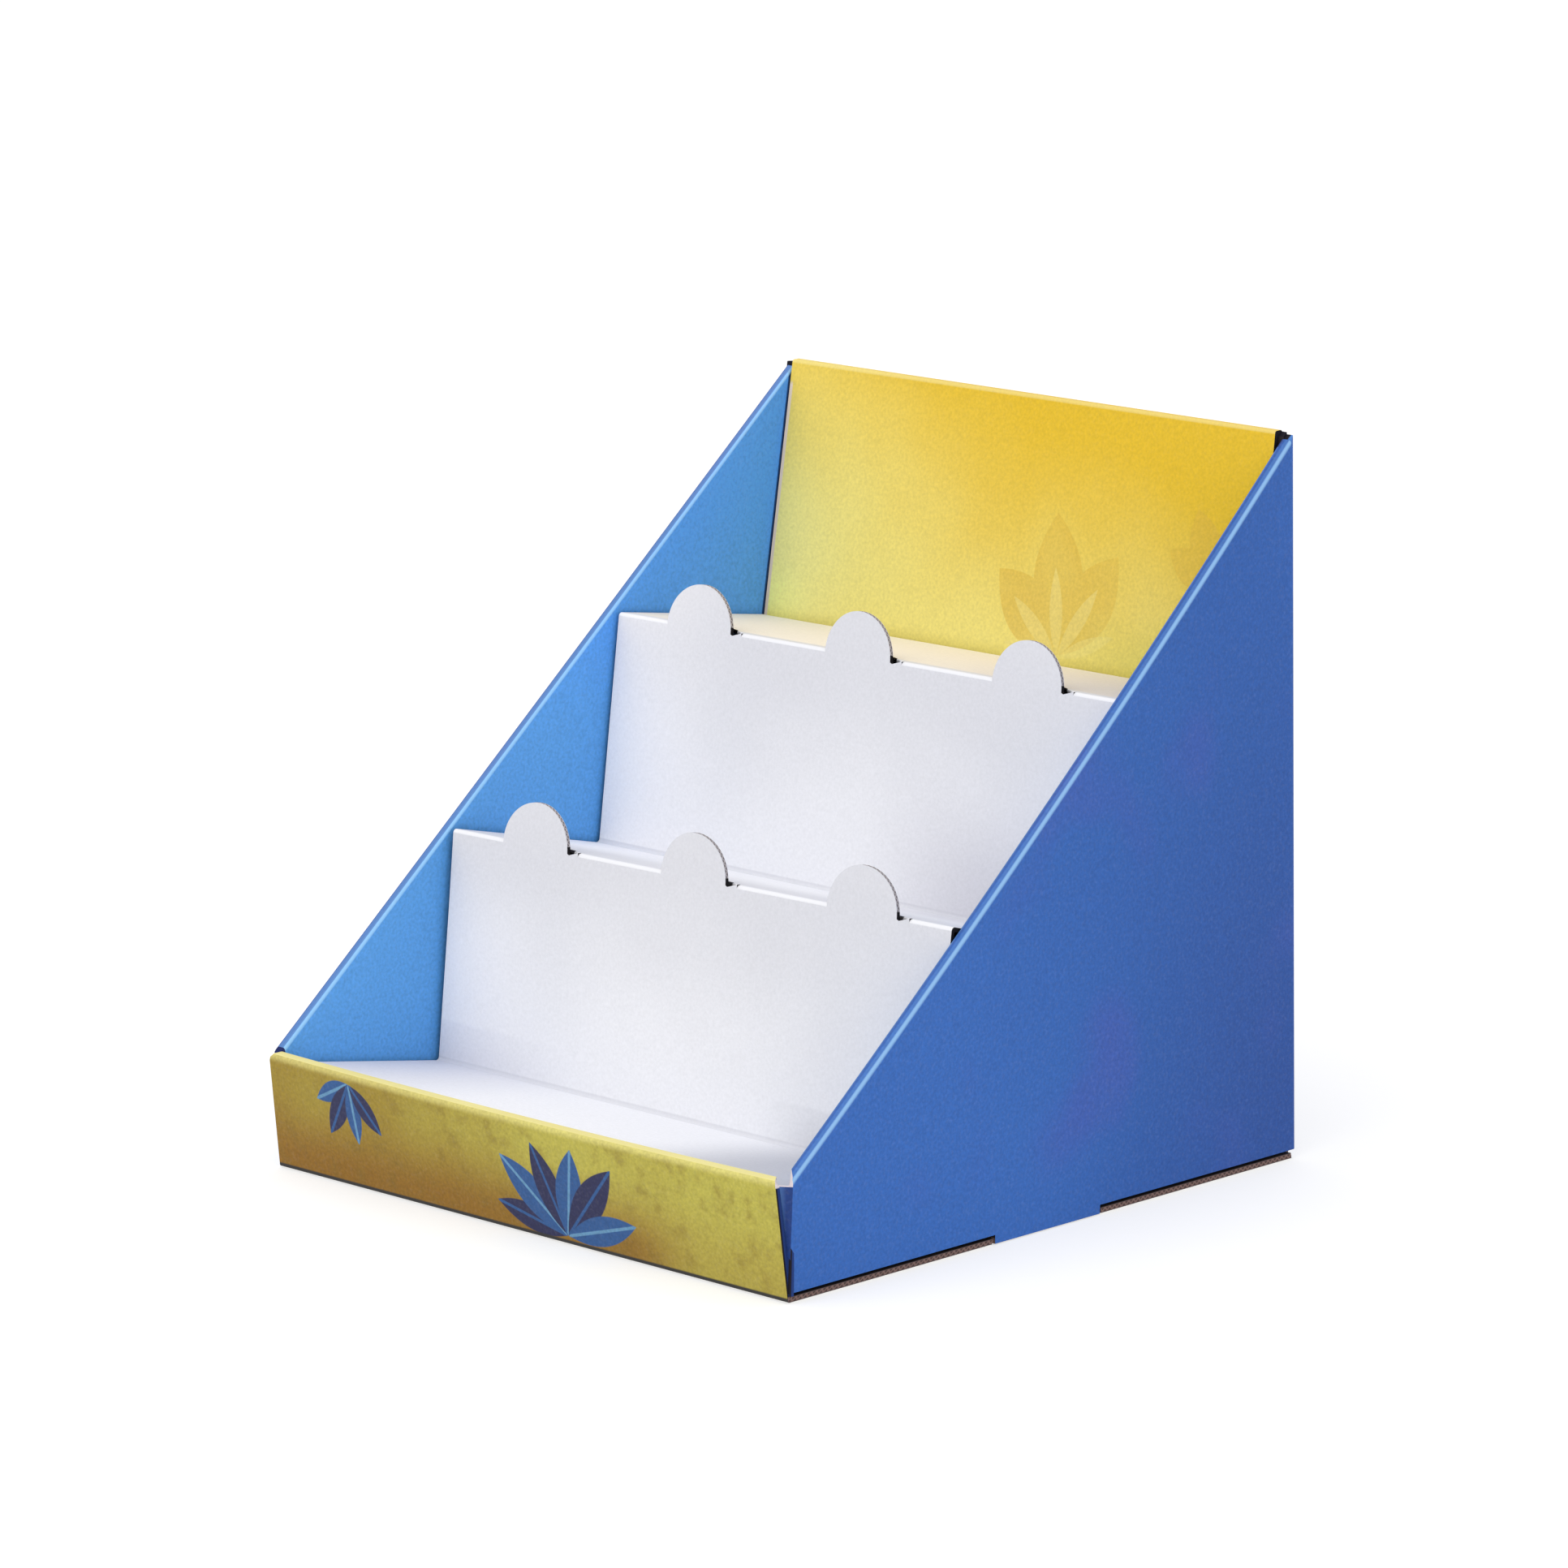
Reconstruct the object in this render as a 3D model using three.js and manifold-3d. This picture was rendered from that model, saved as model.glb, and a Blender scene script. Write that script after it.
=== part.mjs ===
// A counter display box of printed corrugated card, with a stepped card insert that holds the goods in three rows.
// Units are millimetres. X runs from side to side, Y from the front lip to the rear wall, Z up from the counter.
import * as THREE from 'three';
import { mergeVertices } from 'three/addons/utils/BufferGeometryUtils.js';
import Module from 'manifold-3d';

// The outside of the box
const width = 250;
const depth = 252;
const height = 255;
const lipHeight = 41.5;
// How far each side leans in at the top of the rear wall, and how far the lip's top stands forward of its fold
const sideLean = 4;
const lipLean = 4.5;

// The card of the box, the outside radius of its folds, and the air between the two plies of a rolled side
const board = 1.9;
const foldRadius = 1.9;
const rollRadius = 1.2;
const plyGap = 0.6;
// What rests on or beside another panel stays this far from it
const clearance = 0.3;

// The lip: depth of its rolled top, width lost at each end of that top, and the flaps tucked inside it
const lipTopDepth = 5.6;
const lipEndTaper = 2.5;
const flapReach = 55;
const flapBelowTop = 3.5;
const cornerSetback = 3.5;

// The sides: the gap that shows over the base, the tab that drops into the base, and where the roll stops short
const sideFootGap = 1.2;
const sideTabStart = 98;
const sideTabLength = 52;
const tabPlay = 0.5;
const rollRearSetback = 4.6;

// The inner back: its foot stands forward of the rear wall, its free edges stand off the sides, and its crease is
// a little higher than the sides
const innerBackFoot = 43.5;
const innerBackSideGap = 1.3;
const backRise = 0.8;
const creaseRadius = 0.9;

// The insert's card, its gap to the sides, and the height of its floor below the lip
const insertBoard = 1.5;
const insertSideGap = 1.4;
const insertFoldRadius = 1.3;
const floorBelowLip = 3.6;
const floorFall = 11.8;
// Each riser: its top edge's distance behind the front, its backward lean, and the fall of the tread behind it
const lowRiserTop = 78.5;
const lowRiserLean = 8.3;
const lowTreadFall = 17.3;
const highRiserTop = 160;
const highRiserLean = 10.6;
const highTreadFall = 11.1;
// The lower riser stands a little above the sides' sloping edge, and the upper one a little below it
const lowRiserAboveEdge = 1.5;
const highRiserBelowEdge = 1.6;

// The half-round tabs that stand up along each riser
const tabsPerRiser = 3;
const tabRadius = 15.5;
const tabHeight = 16.5;

// A tab's faces lie this far inside the riser's, so that no two faces share a plane
const hair = 0.02;

// The print and the bare card
const blueInk = 0x3f66ae;
const whiteCard = 0xe6e6ec;

const foldSteps = 5;
const tabSteps = 16;
const reach = 2 * (width + depth + height);

const wasm = await Module();
wasm.setup();

const X = new THREE.Vector3(1, 0, 0);
const Y = new THREE.Vector3(0, 1, 0);
const Z = new THREE.Vector3(0, 0, 1);

// A closed geometry as a solid that can be joined and cut
function solid(geometry) {
  geometry.deleteAttribute('normal');
  geometry.deleteAttribute('uv');
  const merged = mergeVertices(geometry, 1e-5);
  const vertProperties = new Float32Array(merged.attributes.position.array);
  const triVerts = new Uint32Array(merged.index.array);
  return new wasm.Manifold(new wasm.Mesh({ numProp: 3, vertProperties, triVerts }));
}

// An outline drawn on the plane of two directions, pushed along their normal from one distance to another
function extrude(outline, right, up, from, to, origin = new THREE.Vector3()) {
  const shape = new THREE.Shape(outline.map(([u, v]) => new THREE.Vector2(u, v)));
  const geometry = new THREE.ExtrudeGeometry(shape, { depth: to - from, bevelEnabled: false });
  geometry.translate(0, 0, from);
  const normal = new THREE.Vector3().crossVectors(right, up);
  geometry.applyMatrix4(new THREE.Matrix4().makeBasis(right, up, normal));
  geometry.translate(origin.x, origin.y, origin.z);
  return solid(geometry);
}

// A section seen from the side, in (y, z), run from one x to another
function acrossWidth(outline, fromX, toX) {
  return extrude(outline, Y, Z, fromX, toX);
}

// A line moved to its left by a distance, with mitred corners
function moveLeft(line, distance) {
  const normals = line.slice(1).map(([u, v], i) => {
    const direction = new THREE.Vector2(u - line[i][0], v - line[i][1]).normalize();
    return new THREE.Vector2(-direction.y, direction.x);
  });
  return line.map(([u, v], i) => {
    const before = normals[Math.max(i - 1, 0)];
    const after = normals[Math.min(i, normals.length - 1)];
    const scale = distance / (1 + before.dot(after));
    return [u + scale * (before.x + after.x), v + scale * (before.y + after.y)];
  });
}

// A line whose corners of one turning sense (1 left, -1 right) become arcs, each of its own radius
function roundCorners(line, radii, sense) {
  const rounded = [line[0]];
  for (let i = 1; i < line.length - 1; i += 1) {
    const corner = new THREE.Vector2(...line[i]);
    const before = new THREE.Vector2(...line[i - 1]).sub(corner).normalize();
    const after = new THREE.Vector2(...line[i + 1]).sub(corner).normalize();
    const turn = -sense * before.cross(after);
    if (turn <= 1e-6) {
      rounded.push(line[i]);
      continue;
    }
    const radius = radii[i - 1];
    const half = Math.acos(THREE.MathUtils.clamp(before.dot(after), -1, 1)) / 2;
    const toArc = radius / Math.tan(half);
    const centre = before.clone().add(after).normalize().multiplyScalar(radius / Math.sin(half)).add(corner);
    const start = before.clone().multiplyScalar(toArc).add(corner).sub(centre);
    const sweep = sense * (Math.PI - 2 * half);
    for (let step = 0; step <= foldSteps; step += 1) {
      const point = start.clone().rotateAround(new THREE.Vector2(), (sweep * step) / foldSteps).add(centre);
      rounded.push([point.x, point.y]);
    }
  }
  rounded.push(line[line.length - 1]);
  return rounded;
}

// The section of a folded sheet: its printed face follows the line, its card lies to the left of it, and each
// fold is rounded on its outside and crushed to a corner on its inside
function foldedSheet(face, thickness, radii) {
  const back = moveLeft(face, thickness);
  return [...roundCorners(face, radii, 1), ...roundCorners(back, radii, -1).reverse()];
}

// The sloping top edge of the sides
const slope = Math.atan2(height - lipHeight, depth);
const edgeHeight = (y) => lipHeight + y * Math.tan(slope);
const doubleWall = 2 * board + plyGap;

// The lip's two faces, as y at a height
const lipFace = (z) => (-lipLean * z) / lipHeight;
const innerLipFoot = 3 * board + 3 * clearance;
const innerLipFace = (z) => {
  const top = lipTopDepth - lipLean;
  return top + ((lipHeight - z) / (lipHeight - board)) * (innerLipFoot - top);
};

// The inner back's printed face, as y at a height
const innerBackTop = depth - 2 * board - 0.1;
const innerBackFootFace = depth - innerBackFoot;
const backTop = height + backRise;
const innerBackFace = (z) => {
  const share = (backTop - z) / (backTop - board);
  return innerBackTop + share * (innerBackFootFace - innerBackTop);
};

// The middle of the sheet seen from the side: the lip's inner ply, its rolled top and outer ply, the base, the
// rear wall, its top crease and the inner back, which slopes forward to the base
function middleStrip() {
  const foot = board + clearance;
  const top = lipFace(lipHeight);
  const face = [[innerLipFace(foot), foot], [top + lipTopDepth, lipHeight], [top, lipHeight], [0, 0], [depth, 0],
    [depth, backTop], [innerBackTop, backTop], [innerBackFace(foot), foot]];
  const radii = [rollRadius, rollRadius, foldRadius, foldRadius, creaseRadius, creaseRadius];
  return acrossWidth(foldedSheet(face, board, radii), 0, width);
}

// What is cut from the lip at both ends: a wedge that tapers it, and the inner ply where it meets the sides
function lipEnds() {
  const rear = innerLipFoot + board + clearance;
  const taper = [[0, board], [lipEndTaper, lipHeight], [lipEndTaper, 2 * lipHeight], [-width, 2 * lipHeight],
    [-width, board]];
  const mirrored = taper.map(([x, z]) => [width - x, z]).reverse();
  const behindOuterPly = (z) => lipFace(z) + board + clearance / 2;
  const rollBottom = lipHeight - board - clearance / 2;
  const innerPly = [[behindOuterPly(board), board], [rear, board], [rear, rollBottom],
    [behindOuterPly(rollBottom), rollBottom]];
  const plyEnd = doubleWall + clearance;
  return extrude(taper, X, Z, -rear, reach)
    .add(extrude(mirrored, X, Z, -rear, reach))
    .add(acrossWidth(innerPly, -1, plyEnd))
    .add(acrossWidth(innerPly, width - plyEnd, width + 1));
}

// What is cut from the rear at both ends: the corners, where the sides fold on, and the inner back's free edges
function rearEnds() {
  const inset = doubleWall + innerBackSideGap;
  const above = backTop + 1;
  const corner = [[depth - foldRadius, -1], [depth + 1, -1], [depth + 1, above], [depth - foldRadius, above]];
  const inner = [[innerBackFootFace - board, board], [depth - board, board], [depth - board, above],
    [innerBackFootFace - board, above]];
  const overCrease = [[depth / 2, height - 2 * board], [depth + 1, height - 2 * board], [depth + 1, above],
    [depth / 2, above]];
  return acrossWidth(corner, -1, 2 * foldRadius)
    .add(acrossWidth(corner, width - 2 * foldRadius, width + 1))
    .add(acrossWidth(inner, -1, inset))
    .add(acrossWidth(inner, width - inset, width + 1))
    .add(acrossWidth(overCrease, -1, inset))
    .add(acrossWidth(overCrease, width - inset, width + 1));
}

// The outer plies of both sides and of the rear wall are one strip, folded at the rear corners
function outerStrip() {
  const face = [[width, cornerSetback], [width, depth], [0, depth], [0, cornerSetback]];
  const strip = extrude(foldedSheet(face, board, [foldRadius, foldRadius]), X, Y, 0, height);
  const foot = board + sideFootGap;
  const low = (rollRadius + clearance) / Math.cos(slope);
  const outline = [[0, foot], [sideTabStart, foot], [sideTabStart, 0], [sideTabStart + sideTabLength, 0],
    [sideTabStart + sideTabLength, foot], [depth + 1, foot], [depth + 1, edgeHeight(depth + 1) - low],
    [0, lipHeight - low]];
  return strip.intersect(acrossWidth(outline, -1, width + 1));
}

// A side's sloping edge rolled inward, with the inner ply that goes down to the base; it joins the outer ply
// a little below the edge
function sideRoll(isRight) {
  const fromX = isRight ? width - doubleWall : 0;
  const toX = fromX + doubleWall;
  const joint = -3 * board;
  const [leftEnd, rightEnd] = isRight ? [-reach, joint] : [joint, -reach];
  const face = [[toX, rightEnd], [toX, 0], [fromX, 0], [fromX, leftEnd]];
  const up = new THREE.Vector3(0, -Math.sin(slope), Math.cos(slope));
  const origin = new THREE.Vector3(0, 0, lipHeight);
  const rolled = extrude(foldedSheet(face, board, [rollRadius, rollRadius]), X, up, -reach, reach, origin);
  const foot = board + clearance;
  const tabEnd = sideTabStart + sideTabLength;
  const rear = depth - rollRearSetback;
  const lipTop = lipHeight - board;
  const outline = [[innerLipFoot + clearance, foot], [sideTabStart, foot], [sideTabStart, 0], [tabEnd, 0],
    [tabEnd, foot], [rear, foot], [rear, 2 * height], [cornerSetback, 2 * height], [cornerSetback, lipTop]];
  const inner = acrossWidth(outline, -1, width + 1);
  return rolled.intersect(inner);
}

// The notches in the base's side edges that take the side tabs
function baseNotches() {
  const start = sideTabStart - tabPlay;
  const end = sideTabStart + sideTabLength + tabPlay;
  const notch = [[start, -1], [end, -1], [end, board + 0.01], [start, board + 0.01]];
  const notchDepth = doubleWall + tabPlay;
  return acrossWidth(notch, -1, notchDepth).add(acrossWidth(notch, width - notchDepth, width + 1));
}

// A front corner flap: folded in from the side's front edge, it lies between the lip's two plies
function cornerFlap(isRight) {
  const top = lipHeight - flapBelowTop;
  const foot = board + clearance;
  const x = (inset) => (isRight ? width - inset : inset);
  const ring = (z) => {
    const front = lipFace(z) + board + clearance;
    return [[x(0), cornerSetback + 1, z], [x(0), cornerSetback, z], [x(2 * board), front, z],
      [x(flapReach), front, z], [x(flapReach), front + board, z], [x(2.5 * board), front + board, z],
      [x(board), cornerSetback + 1, z]];
  };
  return loft(ring(foot), ring(top));
}

// A prism between two rings of points that have the same count
function loft(low, high) {
  const area = THREE.ShapeUtils.area(low.map(([x, y]) => new THREE.Vector2(x, y)));
  const rings = area > 0 ? [low, high] : [[...low].reverse(), [...high].reverse()];
  const count = low.length;
  const flat = rings[0].map(([x, y]) => new THREE.Vector2(x, y));
  const index = [];
  for (const [a, b, c] of THREE.ShapeUtils.triangulateShape(flat, [])) {
    index.push(a, c, b, a + count, b + count, c + count);
  }
  for (let i = 0; i < count; i += 1) {
    const next = (i + 1) % count;
    index.push(i, next, next + count, i, next + count, i + count);
  }
  const geometry = new THREE.BufferGeometry();
  geometry.setAttribute('position', new THREE.Float32BufferAttribute(rings.flat(2), 3));
  geometry.setIndex(index);
  return solid(geometry);
}

// The box: one printed sheet, cut and folded
function displayTray() {
  return middleStrip()
    .subtract(lipEnds())
    .subtract(rearEnds())
    .subtract(baseNotches())
    .add(outerStrip())
    .add(sideRoll(false))
    .add(sideRoll(true))
    .add(cornerFlap(false))
    .add(cornerFlap(true));
}

// The insert's folds seen from the side, from its rear foot to its front foot
function insertFolds() {
  const foot = board + clearance;
  const back = (z) => innerBackFace(z) - clearance - 0.2;
  const front = (z) => innerLipFace(z) + clearance + 0.2;
  const lowTop = edgeHeight(lowRiserTop) + lowRiserAboveEdge;
  const highTop = edgeHeight(highRiserTop) - highRiserBelowEdge;
  const floorFront = lipHeight - floorBelowLip;
  const rearTread = highTop - highTreadFall;
  return [
    [back(foot), foot],
    [back(rearTread), rearTread],
    [highRiserTop, highTop],
    [highRiserTop - highRiserLean, lowTop - lowTreadFall],
    [lowRiserTop, lowTop],
    [lowRiserTop - lowRiserLean, floorFront - floorFall],
    [front(floorFront), floorFront],
    [front(foot), foot],
  ];
}

// The outline of a half-round tab above the line v = root
function tabOutline(centre, root) {
  const straight = tabHeight - tabRadius;
  const start = Math.asin(Math.max(0, root - straight) / tabRadius);
  const outline = root < straight ? [[centre - tabRadius, root], [centre + tabRadius, root]] : [];
  for (let step = 0; step <= tabSteps; step += 1) {
    const angle = start + ((Math.PI - 2 * start) * step) / tabSteps;
    outline.push([centre + tabRadius * Math.cos(angle), straight + tabRadius * Math.sin(angle)]);
  }
  return outline;
}

// The insert: one white sheet, folded into steps, whose tabs are cut out of the treads and stand up
function steppedInsert() {
  const inset = doubleWall + insertSideGap;
  const folds = insertFolds();
  const radii = Array(folds.length - 2).fill(insertFoldRadius);
  let sheet = acrossWidth(foldedSheet(folds, insertBoard, radii), inset, width - inset);
  const span = width - 2 * inset;
  for (const topFold of [2, 4]) {
    const [rearPoint, top, foot] = [folds[topFold - 1], folds[topFold], folds[topFold + 1]];
    const crease = new THREE.Vector3(0, ...top);
    const riserUp = new THREE.Vector3(0, top[0] - foot[0], top[1] - foot[1]).normalize();
    const treadBack = new THREE.Vector3(0, rearPoint[0] - top[0], rearPoint[1] - top[1]).normalize();
    for (let i = 0; i < tabsPerRiser; i += 1) {
      const centre = inset + (span * (2 * i + 1)) / (2 * tabsPerRiser);
      const hole = extrude(tabOutline(centre, insertBoard + hair), X, treadBack, -2 * insertBoard, insertBoard, crease);
      const root = -2 * insertFoldRadius;
      const tab = extrude(tabOutline(centre, root), X, riserUp, hair - insertBoard, -hair, crease);
      sheet = sheet.subtract(hole).add(tab);
    }
  }
  return sheet;
}

// The sides lean in towards the top, and everything between them narrows with them
function leanSides(x, z) {
  const middle = width / 2;
  return middle + (x - middle) * (1 - (2 * sideLean * z) / (width * height));
}

function part(name, body, material) {
  const { vertProperties, triVerts } = body.getMesh();
  const positions = new Float32Array(vertProperties);
  for (let i = 0; i < positions.length; i += 3) {
    positions[i] = leanSides(positions[i], positions[i + 2]) - width / 2;
    positions[i + 1] -= depth / 2;
  }
  const geometry = new THREE.BufferGeometry();
  geometry.setAttribute('position', new THREE.BufferAttribute(positions, 3));
  geometry.setIndex(new THREE.BufferAttribute(new Uint32Array(triVerts), 1));
  geometry.computeVertexNormals();
  const mesh = new THREE.Mesh(geometry, material);
  mesh.name = name;
  return mesh;
}

const printedBoard = new THREE.MeshStandardMaterial({ color: blueInk, roughness: 0.55, metalness: 0 });
const whiteBoard = new THREE.MeshStandardMaterial({ color: whiteCard, roughness: 0.8, metalness: 0 });

const group = new THREE.Group();
group.add(part('display_tray', displayTray(), printedBoard));
group.add(part('stepped_insert', steppedInsert(), whiteBoard));

export default group;
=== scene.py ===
import math

import bpy
import numpy as np
from mathutils import Matrix


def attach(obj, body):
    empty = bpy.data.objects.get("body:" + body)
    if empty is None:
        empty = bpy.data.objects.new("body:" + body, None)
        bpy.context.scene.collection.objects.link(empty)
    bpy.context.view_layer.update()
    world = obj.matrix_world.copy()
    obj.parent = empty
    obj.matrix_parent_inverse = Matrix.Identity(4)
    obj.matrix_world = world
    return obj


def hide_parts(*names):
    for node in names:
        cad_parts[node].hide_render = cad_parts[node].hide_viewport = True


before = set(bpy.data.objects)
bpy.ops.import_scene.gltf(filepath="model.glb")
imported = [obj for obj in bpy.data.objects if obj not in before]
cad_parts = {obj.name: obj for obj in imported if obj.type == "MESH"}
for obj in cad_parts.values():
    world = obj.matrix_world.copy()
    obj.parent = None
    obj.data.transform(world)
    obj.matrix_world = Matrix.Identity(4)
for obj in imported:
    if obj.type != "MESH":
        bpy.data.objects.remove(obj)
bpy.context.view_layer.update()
scene = bpy.context.scene

# The camera stands to the right of the box and a little above it, a long way off, so the box's edges hardly
# converge. Its place and its turns were fitted to the box's corners in the photograph.
PHOTO_SIDE = 1932
CAMERA_FOCUS_PX = 8687
CAMERA_PLACE = (1.6786, -1.6870, 0.6392)
CAMERA_AZIMUTH = math.radians(44.87)
CAMERA_ELEVATION = math.radians(11.97)
CAMERA_ROLL = math.radians(-0.42)


def camera_axes(azimuth, elevation, roll):
    """Right, up and back of a camera that looks at the origin from that azimuth and elevation, then rolls."""
    back = np.array([math.sin(azimuth) * math.cos(elevation), -math.cos(azimuth) * math.cos(elevation),
                     math.sin(elevation)])
    right = np.cross([0, 0, 1], back)
    right /= np.linalg.norm(right)
    up = np.cross(back, right)
    turned = math.cos(roll) * right + math.sin(roll) * up
    return turned, np.cross(back, turned), back


camera_data = bpy.data.cameras.new("camera")
camera_data.sensor_width = 36
camera_data.lens = camera_data.sensor_width * CAMERA_FOCUS_PX / PHOTO_SIDE
camera = bpy.data.objects.new("camera", camera_data)
scene.collection.objects.link(camera)
scene.camera = camera
axes = np.eye(4)
axes[:3, :3] = np.stack(camera_axes(CAMERA_AZIMUTH, CAMERA_ELEVATION, CAMERA_ROLL), axis=1)
axes[:3, 3] = CAMERA_PLACE
camera.matrix_world = Matrix(axes.tolist())

# The middle of the box: one strip of printed board runs from the lip's inner ply over its rolled top, down
# the lip, under the base, up the rear wall, over the top crease and down the sloping inner back to the base.
# It is cut from one sheet with the sides, scored, folded and locked together without glue.

# Sizes are in millimetres: x from the middle, y from the lip's fold and z from the counter
WIDTH = 250.0
DEPTH = 252.0
HEIGHT = 255.0
LIP_HEIGHT = 41.5
SLOPE = math.atan2(HEIGHT - LIP_HEIGHT, DEPTH)
BOARD = 1.9
PLY_GAP = 0.6
DOUBLE_WALL = 2 * BOARD + PLY_GAP
CLEARANCE = 0.3
FOOT = BOARD + CLEARANCE
LIP_LEAN = 4.5
LIP_TOP_DEPTH = 5.6
INNER_LIP_FOOT = 3 * BOARD + 3 * CLEARANCE
INNER_BACK_FOOT = DEPTH - 43.5
INNER_BACK_TOP = DEPTH - 2 * BOARD - 0.1
BACK_TOP = HEIGHT + 0.8


def lip_face(z):
    """y of the lip's printed face at a height: it leans forward from its fold in proportion to the height."""
    return -LIP_LEAN * z / LIP_HEIGHT


def inner_lip_face(z):
    """y of the lip's inner ply at a height, on the straight line from its foot to the rolled top."""
    top = LIP_TOP_DEPTH - LIP_LEAN
    return top + (LIP_HEIGHT - z) / (LIP_HEIGHT - BOARD) * (INNER_LIP_FOOT - top)


def inner_back_face(z):
    """y of the inner back's print at a height, on the straight line from its foot to the top crease."""
    return INNER_BACK_TOP + (BACK_TOP - z) / (BACK_TOP - BOARD) * (INNER_BACK_FOOT - INNER_BACK_TOP)


def edge_height(y):
    """Height of the sides' sloping top edge at a depth: the lip's height plus a straight rise."""
    return LIP_HEIGHT + y * math.tan(SLOPE)


# How the folded box gives: its sides flare at the front and lean in at the rear, the right one bulges and
# stands a little out, the left rear corner stands high, and the lip bows forward
MM = 0.001
FRONT_FLARE = 1.6
SIDE_LEAN = 4.0
RIGHT_BULGE = 4.0
RIGHT_SET = 0.7
LEFT_RISE = 1.5
LIP_BOW = 3.0


def settle(points):
    """Points of the square box in mm to the frame in metres. A side is pulled out by the flare at the front
    and in by the lean at the rear, in proportion to the height below its sloping edge, and all between the
    sides moves with them. The right side also bulges along a parabola from front to rear, and the left
    side's rear corner stands a little high, in proportion to the height and the depth."""
    x, y, z = np.moveaxis(np.asarray(points, float), -1, 0)
    share = np.clip(y, 0, DEPTH) / DEPTH
    bulge = np.where(x > 0, RIGHT_BULGE * 4 * share * (1 - share) + RIGHT_SET, 0)
    shift = (FRONT_FLARE - (FRONT_FLARE + SIDE_LEAN) * share + bulge) * z / edge_height(share * DEPTH)
    rise = LEFT_RISE * z / HEIGHT * share * (0.5 - x / WIDTH)
    return np.stack([x * (1 + 2 * shift / WIDTH), y - DEPTH / 2, z + rise], axis=-1) * MM


def unit(v):
    """Vectors divided by their lengths."""
    return v / np.linalg.norm(v, axis=-1, keepdims=True)


def move_left(line, distance):
    """A line of corners moved to its left by a distance, each corner along the mitre of its two runs."""
    runs = unit(np.diff(line, axis=0))
    normals = np.stack([-runs[..., 1], runs[..., 0]], axis=-1)
    before = np.concatenate([normals[:1], normals])
    after = np.concatenate([normals, normals[-1:]])
    return line + distance / (1 + (before * after).sum(-1, keepdims=True)) * (before + after)


# The steps of each fold's arc, and how far from a fold the first step of the flat card beside it ends
FOLD_STEPS = 8
FOLD_SPREAD = 0.5


def fold_line(corners, radii, cuts):
    """A line of corners whose inner corners become arcs. An arc's centre lies on the corner's bisector, its
    radius over the sine of half the corner's angle away, and its points turn evenly from one run to the
    next. cuts holds the steps of each straight run, whose first and last steps are short. corners may hold
    many lines side by side."""
    def steps(count, end):
        return np.linspace(0, 1, count, endpoint=end).reshape((-1,) + (1,) * (corners.ndim - 1))

    def straight(first, last, count, end):
        share = steps(count + 1, True) + 0 * first[..., :1]
        if count > 3:
            near = FOLD_SPREAD / np.linalg.norm(last - first, axis=-1, keepdims=True)
            share[1], share[-2] = near, 1 - near
        return first + (last - first) * (share if end else share[:-1])

    rows = []
    start = corners[0]
    for i, radius in enumerate(radii, 1):
        before = unit(corners[i - 1] - corners[i])
        after = unit(corners[i + 1] - corners[i])
        half = np.arccos(np.clip((before * after).sum(-1, keepdims=True), -1, 1)) / 2
        first = corners[i] + before * radius / np.tan(half)
        last = corners[i] + after * radius / np.tan(half)
        centre = corners[i] + unit(before + after) * radius / np.sin(half)
        sweep = math.pi - 2 * half
        turn = steps(FOLD_STEPS, False)
        rows.append(straight(start, first, cuts[i - 1], False))
        rows.append(centre + (np.sin((1 - turn) * sweep) * (first - centre)
                              + np.sin(turn * sweep) * (last - centre)) / np.sin(sweep))
        start = last
    rows.append(straight(start, corners[-1], cuts[-1], True))
    return np.concatenate(rows)


def fold_marks(cuts):
    """1 on the rows of each arc of a fold line and 0 on its straight runs."""
    marks = []
    for count in cuts[:-1]:
        marks += [0.0] * count + [1.0] * FOLD_STEPS
    return np.array(marks + [1.0] + [0.0] * cuts[-1])


def run_lengths(line):
    """Distance along a line from its first point to each point."""
    steps = np.linalg.norm(np.diff(line, axis=0), axis=-1)
    return np.concatenate([np.zeros_like(steps[:1]), np.cumsum(steps, axis=0)])


# A piece's material slots: its board's bare side, its cut edges, and from PRINT on what its faces show
LINER, CUT_EDGE, PRINT = range(3)
SHARP_ANGLE = math.radians(38)


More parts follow.
